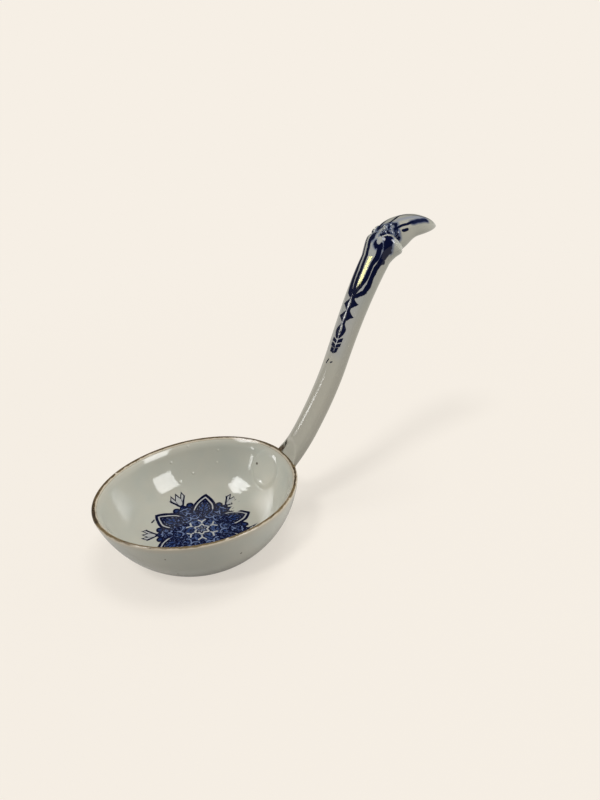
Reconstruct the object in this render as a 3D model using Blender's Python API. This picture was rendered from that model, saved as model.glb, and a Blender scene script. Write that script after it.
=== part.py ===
"""A porcelain sauce ladle, in metres with +Z up.

The bowl stands on its flat base at the origin, and the handle rises from its lip towards +X.
The pieces are the ones that a potter joins before firing: the turned bowl, the brown dressing on
its lip, the moulded handle, the slip that lutes it on, and the relief round the handle's neck.
"""
import math

import bmesh
import bpy
from mathutils import Vector
from mathutils.geometry import interpolate_bezier

MM = 0.001

# Bowl, turned about the Z axis: its outside is part of a sphere through the base and the lip
LIP_RADIUS = 40.6 * MM
BASE_RADIUS = 22.5 * MM
BOWL_HEIGHT = 26.1 * MM
WALL = 2.8 * MM
FLOOR_THICKNESS = 5.6 * MM
WELL_FILLET = 18.0 * MM
BASE_EDGE_RADIUS = 1.2 * MM
RIM_EDGE_HEIGHT = 0.9 * MM

# Joints: the gap left between touching pieces, and the slip under the handle's root
CLEARANCE = 0.3 * MM
SLIP_THICKNESS = 0.9 * MM
SLIP_FLARE = 1.2 * MM

# Handle line, in the plane Y = 0: each run is measured from the end of the one before it
ROOT_INSET = 6.0 * MM
ROOT_DROP = 5.3 * MM
SHANK_REACH = 29.4 * MM
SHANK_RISE = 43.6 * MM
ARM_REACH = 22.5 * MM
ARM_RISE = 39.9 * MM
CREST_REACH = 12.0 * MM
CREST_RISE = 6.4 * MM
TIP_REACH = 11.7 * MM
TIP_DROP = 2.4 * MM
ROOT_SLOPE = math.radians(50)
WAIST_SLOPE = math.radians(64.5)
NECK_SLOPE = math.radians(53)
CREST_SLOPE = math.radians(4)
TIP_SLOPE = math.radians(-20)

# Handle section at the ends of those runs: a flattened oval, wide across Y
ROOT_WIDTH = 13.6 * MM
ROOT_DEPTH = 6.4 * MM
WAIST_WIDTH = 12.8 * MM
WAIST_DEPTH = 6.0 * MM
NECK_WIDTH = 15.0 * MM
NECK_DEPTH = 8.0 * MM
CREST_WIDTH = 13.6 * MM
CREST_DEPTH = 7.2 * MM
OVAL_POWER = 2.6
TIP_TAPER_POWER = 0.75

# Relief round the neck
COLLAR_LENGTH = 5.0 * MM
COLLAR_RISE = 0.9 * MM
RELIEF_SPACING = 0.8 * MM
FLOWER_RADIUS = 3.0 * MM
FLOWER_RISE = 0.8 * MM
FLOWER_FALL = 0.7
FLOWER_PETALS = 6
PETAL_NOTCH = 0.25
SCROLL_RADIUS = 2.2 * MM
SCROLL_BEAD = 1.5 * MM
SCROLL_RISE = 0.7 * MM
SCROLL_TURN = math.radians(300)
SCROLL_CURL = 0.6
SCROLL_TAPER = 0.5

# Fineness of the meshes
TURN_STEPS = 48
ARC_STEPS = 10
OVAL_POINTS = 24
RUN_STEPS = 10
COLLAR_STEPS = 6
PETAL_POINTS = 6
PETAL_SHARES = (0.15, 0.4, 0.7, 1.0)
SCROLL_STEPS = 16
LINE_STEPS = 40
GIRTH_STEPS = 96
WELD = 0.001 * MM
CREASE_ANGLE = math.radians(40)

# Worked out from the bowl's own sizes
SPHERE_Z = (LIP_RADIUS**2 - BASE_RADIUS**2 + BOWL_HEIGHT**2) / (2 * BOWL_HEIGHT)
SPHERE_RADIUS = math.hypot(BASE_RADIUS, SPHERE_Z)
LIP_ROUND = WALL / 2
LIP_Z = BOWL_HEIGHT - LIP_ROUND
LIP_MIDDLE = math.sqrt((SPHERE_RADIUS - LIP_ROUND) ** 2 - (SPHERE_Z - LIP_Z) ** 2)
LIP_ANGLE = math.atan2(LIP_MIDDLE, SPHERE_Z - LIP_Z)
DOWN = -math.pi / 2

for scene_object in list(bpy.data.objects):
    bpy.data.objects.remove(scene_object, do_unlink=True)


# Helpers for materials, objects and closed bodies


def porcelain(name, colour, roughness):
    """A plain glazed material of one colour."""
    material = bpy.data.materials.new(name)
    material.use_nodes = True
    shader = material.node_tree.nodes["Principled BSDF"]
    shader.inputs["Base Color"].default_value = (*colour, 1)
    shader.inputs["Roughness"].default_value = roughness
    shader.inputs["Metallic"].default_value = 0
    return material


def place(name, body, material=None):
    """Turn a bmesh into a named object; one with no material is a hidden cutter."""
    mesh = bpy.data.meshes.new(name)
    bmesh.ops.recalc_face_normals(body, faces=body.faces)
    body.to_mesh(mesh)
    body.free()
    mesh.shade_smooth()
    mesh.set_sharp_from_angle(angle=CREASE_ANGLE)
    placed = bpy.data.objects.new(name, mesh)
    bpy.context.scene.collection.objects.link(placed)
    if material:
        mesh.materials.append(material)
    else:
        placed.hide_render = True
        placed.display_type = "WIRE"
    return placed


def combine(target, operation, cutter):
    """Cut or trim an object by a hidden cutter."""
    modifier = target.modifiers.new(cutter.name, "BOOLEAN")
    modifier.operation = operation
    modifier.solver = "EXACT"
    modifier.object = cutter


def arc(centre_r, centre_z, radius, start, end):
    """Points of an arc in the (r, z) half plane, angles measured from the outward direction."""
    angles = [start + (end - start) * step / ARC_STEPS for step in range(ARC_STEPS + 1)]
    return [(centre_r + radius * math.cos(a), centre_z + radius * math.sin(a)) for a in angles]


def turned(outline, ring=False):
    """Spin an (r, z) outline about Z: it starts and ends on the axis, or closes on itself in a ring."""
    body = bmesh.new()
    points = [body.verts.new((r, 0, z)) for r, z in outline]
    ends = points[1:] + points[:1] if ring else points[1:]
    for first, second in zip(points, ends):
        body.edges.new((first, second))
    bmesh.ops.spin(
        body, geom=body.verts[:] + body.edges[:], cent=(0, 0, 0), axis=(0, 0, 1),
        angle=math.tau, steps=TURN_STEPS, use_merge=True,
    )
    bmesh.ops.remove_doubles(body, verts=body.verts, dist=WELD)
    bmesh.ops.recalc_face_normals(body, faces=body.faces)
    return body


def level_cut(body, height, keep_above):
    """Cut a turned body level and close the cut with a flat ring."""
    cut = bmesh.ops.bisect_plane(
        body, geom=body.verts[:] + body.edges[:] + body.faces[:],
        plane_co=(0, 0, height), plane_no=(0, 0, 1),
        clear_inner=keep_above, clear_outer=not keep_above,
    )
    edges = [part for part in cut["geom_cut"] if isinstance(part, bmesh.types.BMEdge)]
    bmesh.ops.bridge_loops(body, edges=edges)


def loft(body, rings, closed=False):
    """Bridge rings of points in order, and close the ends with caps or back onto the first ring."""
    loops = []
    for ring in rings:
        points = [body.verts.new(point) for point in ring]
        loops.append([body.edges.new(pair) for pair in zip(points, points[1:] + points[:1])])
    followers = loops[1:] + loops[:1] if closed else loops[1:]
    for first, second in zip(loops, followers):
        bmesh.ops.bridge_loops(body, edges=first + second)
    if not closed:
        for end in (loops[0], loops[-1]):
            bmesh.ops.contextual_create(body, geom=end)


# The bowl's outline and its offsets


def outer_wall(offset, start, end):
    """The outside of the bowl between two angles from straight down, moved out by an offset."""
    return arc(0, SPHERE_Z, SPHERE_RADIUS + offset, start + DOWN, end + DOWN)


def lip_top(offset, start, end):
    """Part of the round lip, moved out by an offset."""
    return arc(LIP_MIDDLE, LIP_Z, LIP_ROUND + offset, start, end)


def bowl_outline():
    """From the floor's centre out over the lip and down to the base's centre."""
    inside = SPHERE_RADIUS - WALL
    well_r = math.sqrt((inside - WELL_FILLET) ** 2 - (SPHERE_Z - FLOOR_THICKNESS - WELL_FILLET) ** 2)
    well_z = FLOOR_THICKNESS + WELL_FILLET
    well_angle = math.atan2(well_r, SPHERE_Z - well_z)
    foot_r = math.sqrt((SPHERE_RADIUS - BASE_EDGE_RADIUS) ** 2 - (SPHERE_Z - BASE_EDGE_RADIUS) ** 2)
    foot_angle = math.atan2(foot_r, SPHERE_Z - BASE_EDGE_RADIUS)
    return (
        [(0, FLOOR_THICKNESS)]
        + arc(well_r, well_z, WELL_FILLET, DOWN, well_angle + DOWN)
        + arc(0, SPHERE_Z, inside, well_angle + DOWN, LIP_ANGLE + DOWN)[1:]
        + lip_top(0, LIP_ANGLE - DOWN, LIP_ANGLE + DOWN)[1:]
        + outer_wall(0, LIP_ANGLE, foot_angle)[1:]
        + arc(foot_r, BASE_EDGE_RADIUS, BASE_EDGE_RADIUS, foot_angle + DOWN, DOWN)[1:]
        + [(0, 0)]
    )


def root_cutter_outline(offset):
    """The bowl filled solid and grown by an offset, with a column above it up to the middle of the lip."""
    column_top = BOWL_HEIGHT + ROOT_WIDTH + SLIP_THICKNESS
    return (
        outer_wall(offset, 0, LIP_ANGLE)
        + lip_top(offset, LIP_ANGLE + DOWN, -DOWN)[1:]
        + [(LIP_MIDDLE, column_top), (0, column_top)]
    )


def slip_shell_outline(inner, outer):
    """A shell over the wall and the outer half of the lip, between two offsets from the bowl."""
    outside = outer_wall(outer, LIP_ANGLE / 2, LIP_ANGLE) + lip_top(outer, LIP_ANGLE + DOWN, -DOWN)[1:]
    inside = outer_wall(inner, LIP_ANGLE / 2, LIP_ANGLE) + lip_top(inner, LIP_ANGLE + DOWN, -DOWN)[1:]
    return outside + inside[::-1]


# The handle's line and skin


def slope_vector(slope, length):
    return Vector((math.cos(slope) * length, 0, math.sin(slope) * length))


def handle_line():
    """Points along the handle's middle, and how far along it each run ends."""
    corner = Vector((LIP_RADIUS - ROOT_INSET, 0, BOWL_HEIGHT - ROOT_DROP))
    runs = [
        (SHANK_REACH, SHANK_RISE, ROOT_SLOPE, WAIST_SLOPE),
        (ARM_REACH, ARM_RISE, WAIST_SLOPE, NECK_SLOPE),
        (CREST_REACH, CREST_RISE, NECK_SLOPE, CREST_SLOPE),
        (TIP_REACH, -TIP_DROP, CREST_SLOPE, TIP_SLOPE),
    ]
    points = [corner]
    ends = [0.0]
    distances = [0.0]
    for reach, rise, leave, arrive in runs:
        end = corner + Vector((reach, 0, rise))
        pull = (end - corner).length / 3
        curve = interpolate_bezier(
            corner, corner + slope_vector(leave, pull), end - slope_vector(arrive, pull), end, LINE_STEPS
        )
        for point in curve[1:]:
            distances.append(distances[-1] + (point - points[-1]).length)
            points.append(point)
        ends.append(distances[-1])
        corner = end
    return points, distances, ends


LINE_POINTS, LINE_DISTANCES, RUN_ENDS = handle_line()
ROOT_AT, WAIST_AT, NECK_AT, CREST_AT, TIP_AT = RUN_ENDS
WIDTHS = [ROOT_WIDTH, WAIST_WIDTH, NECK_WIDTH, CREST_WIDTH]
DEPTHS = [ROOT_DEPTH, WAIST_DEPTH, NECK_DEPTH, CREST_DEPTH]


def eased(sizes, distance):
    """A section size that eases from each run's end to the next."""
    for run in range(len(sizes) - 1):
        if distance <= RUN_ENDS[run + 1]:
            share = max(0.0, (distance - RUN_ENDS[run]) / (RUN_ENDS[run + 1] - RUN_ENDS[run]))
            return sizes[run] + (sizes[run + 1] - sizes[run]) * share * share * (3 - 2 * share)
    past_crest = min(1.0, (distance - CREST_AT) / (TIP_AT - CREST_AT))
    return sizes[-1] * (1 - past_crest**2) ** TIP_TAPER_POWER


def station(distance):
    """The handle's middle, its front direction and its half width and half depth at a distance."""
    step = 0
    while step < len(LINE_DISTANCES) - 2 and LINE_DISTANCES[step + 1] < distance:
        step += 1
    share = (distance - LINE_DISTANCES[step]) / (LINE_DISTANCES[step + 1] - LINE_DISTANCES[step])
    before = LINE_POINTS[max(step - 1, 0)]
    after = LINE_POINTS[min(step + 2, len(LINE_POINTS) - 1)]
    turn_from = (LINE_POINTS[step + 1] - before).normalized()
    turn_to = (after - LINE_POINTS[step]).normalized()
    along = turn_from.lerp(turn_to, share).normalized()
    middle = LINE_POINTS[step].lerp(LINE_POINTS[step + 1], share)
    front = Vector((-along.z, 0, along.x))
    return middle, front, eased(WIDTHS, distance) / 2, eased(DEPTHS, distance) / 2


def oval_point(place_on_line, angle, raised):
    """A point of the oval section, raised off its skin; the front is at a quarter turn from +Y."""
    middle, front, half_width, half_depth = place_on_line
    across = math.copysign(abs(math.cos(angle)) ** (2 / OVAL_POWER), math.cos(angle))
    forward = math.copysign(abs(math.sin(angle)) ** (2 / OVAL_POWER), math.sin(angle))
    lean_across = math.copysign(abs(across) ** (OVAL_POWER - 1), across) / half_width
    lean_forward = math.copysign(abs(forward) ** (OVAL_POWER - 1), forward) / half_depth
    lean = math.hypot(lean_across, lean_forward)
    side = half_width * across + raised * lean_across / lean
    return middle + Vector((0, side, 0)) + front * (half_depth * forward + raised * lean_forward / lean)


def oval(distance, raised):
    """One ring of points round the handle."""
    here = station(distance)
    return [oval_point(here, math.tau * point / OVAL_POINTS, raised) for point in range(OVAL_POINTS)]


def skin_point(distance, girth, raised):
    """A point raised off the skin, found by how far it lies round the section from the front line."""
    here = station(distance)
    angle = math.pi / 2
    point = oval_point(here, angle, 0)
    travelled = 0.0
    for _ in range(GIRTH_STEPS):
        next_angle = angle - math.copysign(math.pi / GIRTH_STEPS, girth)
        next_point = oval_point(here, next_angle, 0)
        length = (next_point - point).length
        if travelled + length >= abs(girth):
            share = (abs(girth) - travelled) / length
            return oval_point(here, angle + (next_angle - angle) * share, raised)
        travelled += length
        angle = next_angle
        point = next_point
    return oval_point(here, angle, raised)


GLAZE = (0.60, 0.59, 0.54)
BROWN = (0.27, 0.17, 0.08)
SLIP_GREY = (0.50, 0.46, 0.39)
COBALT = (0.05, 0.07, 0.22)


# Bowl: a turned cup with a flat base, cut level just under its lip
bowl = turned(bowl_outline())
level_cut(bowl, BOWL_HEIGHT - RIM_EDGE_HEIGHT - CLEARANCE, keep_above=False)
place("bowl", bowl, porcelain("bowl_glaze", GLAZE, 0.15))

# Rim edge: the brown-dressed crown of the lip
rim_edge = turned(bowl_outline())
level_cut(rim_edge, BOWL_HEIGHT - RIM_EDGE_HEIGHT, keep_above=True)
place("rim_edge", rim_edge, porcelain("rim_dressing", BROWN, 0.35))

# Handle: one moulding from its root to its hooked tip, cut to sit over the lip and the wall
handle = bmesh.new()
rings = [oval(CREST_AT * step / (3 * RUN_STEPS), 0) for step in range(3 * RUN_STEPS)]
for step in range(RUN_STEPS):
    past_crest = math.sin(math.pi / 2 * step / RUN_STEPS)
    rings.append(oval(CREST_AT + (TIP_AT - CREST_AT) * past_crest, 0))
loft(handle, rings)
handle = place("handle", handle, porcelain("handle_glaze", GLAZE, 0.15))
root_cutter = turned(root_cutter_outline(CLEARANCE + SLIP_THICKNESS + CLEARANCE))
combine(handle, "DIFFERENCE", place("root_cutter", root_cutter))

# Slip joint: the pad of slip between the handle's root and the bowl, squeezed out a little all round
slip_joint = bmesh.new()
slip_reach = ROOT_INSET + ROOT_DROP + ROOT_WIDTH
loft(slip_joint, [oval(slip_reach * step / RUN_STEPS, SLIP_FLARE) for step in range(RUN_STEPS + 1)])
slip_joint = place("slip_joint", slip_joint, porcelain("slip", SLIP_GREY, 0.35))
slip_shell = turned(slip_shell_outline(CLEARANCE, CLEARANCE + SLIP_THICKNESS), ring=True)
combine(slip_joint, "INTERSECT", place("slip_shell", slip_shell))

# Collar: a moulded roll right round the neck
collar = bmesh.new()
inside = []
outside = []
for step in range(COLLAR_STEPS + 1):
    across = step / COLLAR_STEPS
    at = NECK_AT + COLLAR_LENGTH * (across - 0.5)
    bulge = COLLAR_RISE * math.sqrt(max(0.0, 1 - (2 * across - 1) ** 2))
    inside.append(oval(at, CLEARANCE))
    if 0 < step < COLLAR_STEPS:
        outside.append(oval(at, CLEARANCE + bulge))
loft(collar, inside + outside[::-1], closed=True)
place("collar", collar, porcelain("collar_glaze", GLAZE, 0.15))

# Flower sprig: a small rosette on the front of the neck, just past the collar
FLOWER_AT = NECK_AT + COLLAR_LENGTH / 2 + RELIEF_SPACING + FLOWER_RADIUS


def flower_ring(share, raised):
    """A lobed ring at a share of the flower's radius, raised off the handle."""
    ring = []
    for point in range(FLOWER_PETALS * PETAL_POINTS):
        turn = math.tau * point / (FLOWER_PETALS * PETAL_POINTS)
        notch = PETAL_NOTCH * (1 - math.cos(FLOWER_PETALS * turn)) / 2
        radius = FLOWER_RADIUS * share * (1 - notch * share)
        ring.append(skin_point(FLOWER_AT + radius * math.cos(turn), radius * math.sin(turn), raised))
    return ring


under = [flower_ring(share, CLEARANCE) for share in PETAL_SHARES]
over = [flower_ring(share, CLEARANCE + FLOWER_RISE * (1 - FLOWER_FALL * share**2)) for share in PETAL_SHARES]
flower = bmesh.new()
loft(flower, under + over[::-1])
place("flower_sprig", flower, porcelain("flower_blue", COBALT, 0.15))

# Scroll sprigs: a pair of curled beads, one on each side of the flower
SCROLL_AWAY = FLOWER_RADIUS + RELIEF_SPACING + SCROLL_RADIUS + SCROLL_BEAD / 2
scroll_blue = porcelain("scroll_blue", COBALT, 0.15)


def scroll_bead(share, side):
    """The bead's half-round section at a share of the way along its curl."""
    turn = SCROLL_TURN * share
    radius = SCROLL_RADIUS * (1 - SCROLL_CURL * share)
    half_bead = SCROLL_BEAD / 2 * (1 - SCROLL_TAPER * share)
    bead = []
    for point in range(ARC_STEPS):
        roll = math.tau * point / ARC_STEPS
        away = radius + half_bead * math.cos(roll)
        raised = CLEARANCE + SCROLL_RISE * max(0.0, math.sin(roll))
        girth = side * (SCROLL_AWAY - away * math.cos(turn))
        bead.append(skin_point(FLOWER_AT + away * math.sin(turn), girth, raised))
    return bead


for name, side in (("left_scroll", 1), ("right_scroll", -1)):
    scroll = bmesh.new()
    loft(scroll, [scroll_bead(step / SCROLL_STEPS, side) for step in range(SCROLL_STEPS + 1)])
    place(name, scroll, scroll_blue)
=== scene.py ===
import math

import bmesh
import bpy
from mathutils import Matrix, Vector
from mathutils.geometry import interpolate_bezier


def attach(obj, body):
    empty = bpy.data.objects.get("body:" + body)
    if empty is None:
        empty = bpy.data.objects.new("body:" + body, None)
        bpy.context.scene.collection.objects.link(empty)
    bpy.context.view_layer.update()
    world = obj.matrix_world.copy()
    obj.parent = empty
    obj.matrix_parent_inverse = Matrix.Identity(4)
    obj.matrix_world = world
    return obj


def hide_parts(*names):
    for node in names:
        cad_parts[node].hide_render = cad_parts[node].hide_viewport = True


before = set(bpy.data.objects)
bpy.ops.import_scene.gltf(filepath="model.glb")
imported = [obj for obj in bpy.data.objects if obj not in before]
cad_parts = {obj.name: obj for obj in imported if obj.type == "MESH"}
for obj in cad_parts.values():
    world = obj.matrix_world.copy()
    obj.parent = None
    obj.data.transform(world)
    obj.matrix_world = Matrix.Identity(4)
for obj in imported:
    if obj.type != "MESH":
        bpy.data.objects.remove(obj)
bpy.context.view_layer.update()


# Bowl: a shallow round cup of porcelain, shaped on a turning mould and dipped in a thin grey-white
# glaze. Its wall thins to a rolled lip, and its flat base was wiped bare of glaze. A cobalt
# medallion is printed on its floor.
MM = 0.001
LIP_RADIUS = 40.6 * MM
BASE_RADIUS = 22.5 * MM
BOWL_HEIGHT = 26.1 * MM
WALL = 2.8 * MM
FLOOR_THICKNESS = 5.6 * MM
WELL_FILLET = 18.0 * MM
BASE_EDGE_RADIUS = 1.2 * MM
LIP_ROUND = 0.75 * MM
LIP_ROLL = 7.5 * MM
RIM_EDGE_HEIGHT = 0.9 * MM
TURN_STEPS = 400
FLOOR_STEPS = 8
WELL_STEPS = 36
INSIDE_STEPS = 56
ROLL_STEPS = 16
LIP_STEPS = 12
OUTSIDE_STEPS = 24
FOOT_STEPS = 8
BASE_STEPS = 4
WELD = 0.0005 * MM
CREASE_ANGLE = math.radians(50)

SPHERE_Z = (LIP_RADIUS**2 - BASE_RADIUS**2 + BOWL_HEIGHT**2) / (2 * BOWL_HEIGHT)
SPHERE_RADIUS = math.hypot(BASE_RADIUS, SPHERE_Z)
SPHERE_MIDDLE = Vector((0, 0, SPHERE_Z))
LIP_Z = BOWL_HEIGHT - LIP_ROUND
LIP_MIDDLE = math.sqrt((SPHERE_RADIUS - LIP_ROUND) ** 2 - (SPHERE_Z - LIP_Z) ** 2)
LIP_ANGLE = math.atan2(LIP_MIDDLE, SPHERE_Z - LIP_Z)

PRESS_PLACE = Vector((32.3, 12.2, 16.9)) * MM
PRESS_RADIUS = 8.4 * MM
PRESS_EDGE = 2.2 * MM
PRESS_RISE = 0.9 * MM
WARP_POWER = 1.5
# Each wave of the warp: its number of sides, and its cosine and sine parts in millimetres
LIP_WARP = ((2, 0.13, 0.22), (3, -0.34, 0.23))

GLAZE_GREY = (0.425, 0.430, 0.375)
GLAZE_WARM = (0.475, 0.458, 0.385)
BARE_CLAY = (0.50, 0.44, 0.35)
LIP_BEIGE = (0.50, 0.43, 0.33)
IRON_SPECK = (0.06, 0.04, 0.03)
COBALT_HALO = (0.25, 0.28, 0.39)
COBALT_PALE = (0.12, 0.17, 0.30)
COBALT_WASH = (0.010, 0.032, 0.125)
COBALT_INK = (0.001, 0.003, 0.026)
GLAZE_IOR = 1.42
CLOUD_GRAIN = 70
CLOUD_FROM = 0.32
CLOUD_STEEPNESS = 2.6
FLECK_GRAIN = 130
FLECK_CHANCE = 0.16
FLECK_RADIUS = 0.026
FLECK_DEPTH = 0.75
GLOSS_GRAIN = 240
GLOSS_LEAST = 0.05
GLOSS_SPAN = 0.05
RIPPLE_GRAIN = 330
RIPPLE_HEIGHT = 0.05
RIPPLE_DEPTH = 0.4 * MM
PRINT_BLUR = 0.14
PRINT_SHAKE = 0.8

# Marks in the glaze and in the print are in millimetres; each speck is its place and its radius
BOWL_SPECKS = (
    (29.9, 17.0, 18.4, 0.55), (5.8, -36.4, 15.8, 0.42),
    (-20.7, -32.9, 20.3, 0.32), (-16.9, -27.8, 9.1, 0.45),
)
BOWL_PIMPLES = (
    (5.6, 37.0, 24.7), (17.3, 32.0, 21.5), (15.6, 30.4, 16.8),
    (4.7, 32.1, 13.8), (-1.7, 31.0, 11.9), (-3.2, 35.6, 19.8),
)
PIMPLE_RADIUS = 1.0
# Each pimple's top carries a painted glint: a small white dot that stands in for its highlight
PIMPLE_GLINT_TOP = 0.3
PIMPLE_RISE = 0.85
PIMPLE_GLINT_WHITE = (0.78, 0.75, 0.66)
PRESS_RIDGE = 7.3
PRESS_RIDGE_HALF = 0.4
PRESS_RIDGE_FROM = 17
PRESS_RIDGE_RISE = 0.5
LIP_STAIN_FROM = 24.3
WIPED_TO = 0.35
BARE_ROUGHNESS = 0.6


def corner_angle(side, next_side, far_side_shade):
    """The angle between two sides of a triangle, from the lengths of all three."""
    return math.acos((side**2 + next_side**2 - far_side_shade**2) / (2 * side * next_side))


def pen_run(body, pen, steps, **sweep):
    """Carry an outline on from the pen's vertex, and return the vertex where the pen stops."""
    swept = bmesh.ops.spin(body, geom=[pen], steps=steps, **sweep)
    return next(part for part in swept["geom_last"] if isinstance(part, bmesh.types.BMVert))


def straight_run(body, pen, along_r, along_z, steps):
    """Carry an outline on in a straight line."""
    step = (along_r / steps, 0, along_z / steps)
    return pen_run(body, pen, steps, cent=(0, 0, 0), axis=(0, 0, 1), angle=0, dvec=step)


def arc_run(body, pen, centre_r, centre_z, turn, steps):
    """Carry an outline on round a centre."""
    return pen_run(body, pen, steps, cent=(centre_r, 0, centre_z), axis=(0, -1, 0), angle=turn)


def turned_bowl():
    """The whole bowl with its lip: its outline, from the floor's middle to the base's, spun about Z."""
    inside = SPHERE_RADIUS - WALL
    well_z = FLOOR_THICKNESS + WELL_FILLET
    well_r = math.sqrt((inside - WELL_FILLET) ** 2 - (SPHERE_Z - well_z) ** 2)
    well_angle = math.atan2(well_r, SPHERE_Z - well_z)
    roll_reach = inside + LIP_ROLL
    lip_reach = SPHERE_RADIUS - LIP_ROUND
    roll_to_lip = LIP_ROLL - LIP_ROUND
    roll_angle = LIP_ANGLE - corner_angle(roll_reach, lip_reach, roll_to_lip)
    roll_turn = corner_angle(roll_reach, roll_to_lip, lip_reach)
    lip_turn = corner_angle(lip_reach, roll_to_lip, roll_reach)
    roll_r = roll_reach * math.sin(roll_angle)
    roll_z = SPHERE_Z - roll_reach * math.cos(roll_angle)
    foot_r = math.sqrt((SPHERE_RADIUS - BASE_EDGE_RADIUS) ** 2 - (SPHERE_Z - BASE_EDGE_RADIUS) ** 2)
    foot_angle = math.atan2(foot_r, SPHERE_Z - BASE_EDGE_RADIUS)
    body = bmesh.new()
    pen = body.verts.new((0, 0, FLOOR_THICKNESS))
    pen = straight_run(body, pen, well_r, 0, FLOOR_STEPS)
    pen = arc_run(body, pen, well_r, well_z, well_angle, WELL_STEPS)
    pen = arc_run(body, pen, 0, SPHERE_Z, roll_angle - well_angle, INSIDE_STEPS)
    pen = arc_run(body, pen, roll_r, roll_z, -roll_turn, ROLL_STEPS)
    pen = arc_run(body, pen, LIP_MIDDLE, LIP_Z, -lip_turn, LIP_STEPS)
    pen = arc_run(body, pen, 0, SPHERE_Z, foot_angle - LIP_ANGLE, OUTSIDE_STEPS)
    pen = arc_run(body, pen, foot_r, BASE_EDGE_RADIUS, -foot_angle, FOOT_STEPS)
    straight_run(body, pen, -foot_r, 0, BASE_STEPS)
    bmesh.ops.spin(
        body, geom=body.verts[:] + body.edges[:], cent=(0, 0, 0), axis=(0, 0, 1),
        angle=math.tau, steps=TURN_STEPS, use_merge=True,
    )
    bmesh.ops.remove_doubles(body, verts=body.verts, dist=WELD)
    bmesh.ops.recalc_face_normals(body, faces=body.faces)
    return body


def level_cut(body, height, keep_above):
    """Cut a turned body level, keep one side, and close the cut with a flat ring."""
    cut = bmesh.ops.bisect_plane(
        body, geom=body.verts[:] + body.edges[:] + body.faces[:], dist=WELD,
        plane_co=(0, 0, height), plane_no=(0, 0, 1),
        clear_inner=keep_above, clear_outer=not keep_above,
    )
    edges = [part for part in cut["geom_cut"] if isinstance(part, bmesh.types.BMEdge)]
    bmesh.ops.bridge_loops(body, edges=edges)
    bmesh.ops.recalc_face_normals(body, faces=body.faces)


def pressed(point):
    """Where a point of the wall's inside went when the handle's root was pushed on from outside."""
    share = (PRESS_RADIUS - (point - PRESS_PLACE).length) / PRESS_EDGE
    share = min(1.0, max(0.0, share))
    if (point - SPHERE_MIDDLE).length > SPHERE_RADIUS - WALL / 2:
        return point
    return point + (SPHERE_MIDDLE - point).normalized() * PRESS_RISE * share * share * (3 - 2 * share)


def warped(point):
    """Where a point of the turned bowl went in drying and firing: the lip is a little out of round."""
    turn = math.atan2(point.y, point.x)
    lift = max(0.0, point.z / BOWL_HEIGHT) ** WARP_POWER
    bulge = 0.0
    for sides, level, aside in LIP_WARP:
        bulge += level * math.cos(sides * turn) + aside * math.sin(sides * turn)
    reach = math.hypot(point.x, point.y)
    share = 1 + lift * bulge * MM / max(reach, MM)
    return Vector((point.x * share, point.y * share, point.z))


def set_in_place(name, body, material):
    """Turn a bmesh into a smooth named object at the origin."""
    mesh = bpy.data.meshes.new(name)
    body.to_mesh(mesh)
    body.free()
    mesh.shade_smooth()
    mesh.set_sharp_from_angle(angle=CREASE_ANGLE)
    mesh.materials.append(material)
    placed = bpy.data.objects.new(name, mesh)
    bpy.context.scene.collection.objects.link(placed)
    return placed


class Reading:
    """A number that changes over a surface, worked out by Math nodes."""

    def __init__(self, socket):
        self.socket = socket

    def worked(self, operation, *others, clamp=False):
        """This reading and others, or plain numbers, put through one Math node."""
        tree = self.socket.id_data
        node = tree.nodes.new("ShaderNodeMath")
        node.operation = operation
        node.use_clamp = clamp
        for port, value in zip(node.inputs, (self, *others)):
            if isinstance(value, Reading):
                tree.links.new(value.socket, port)
            else:
                port.default_value = value
        return Reading(node.outputs[0])

    def __add__(self, other):
        return self.worked("ADD", other)

    def __sub__(self, other):
        return self.worked("SUBTRACT", other)

    def __rsub__(self, other):
        return self.worked("MULTIPLY_ADD", -1, other)

    def __mul__(self, other):
        return self.worked("MULTIPLY", other)

    def __truediv__(self, other):
        return self.worked("DIVIDE", other)

    def __abs__(self):
        return self.worked("ABSOLUTE")

    def __or__(self, other):
        return self.worked("MAXIMUM", other)

    def __and__(self, other):
        return self.worked("MINIMUM", other)

    def but_not(self, other):
        """This mark with another one left out of it."""
        return self * (1 - other)

    def steep(self, factor):
        """This reading times a factor, kept between 0 and 1."""
        return self.worked("MULTIPLY", factor, clamp=True)

    def filled(self, blur=PRINT_BLUR):
        """1 where a distance in millimetres is below zero, and 0 above it, with a soft edge."""
        return self.worked("MULTIPLY_ADD", -1 / blur, 0.5, clamp=True)

    def line(self, width, blur=PRINT_BLUR):
        """A line of that width where a distance passes through zero."""
        return (abs(self) - width / 2).filled(blur)

    def waves(self, pitch):
        """A zigzag from 0, at every multiple of the pitch, to 1 halfway between."""
        return self.worked("PINGPONG", pitch / 2) / (pitch / 2)


def distance_to(tree, point, place):
    """How far each point of a surface is from one place."""
    node = tree.nodes.new("ShaderNodeVectorMath")
    node.operation = "DISTANCE"
    tree.links.new(point, node.inputs[0])
    node.inputs[1].default_value = place
    return Reading(node.outputs["Value"])


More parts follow.
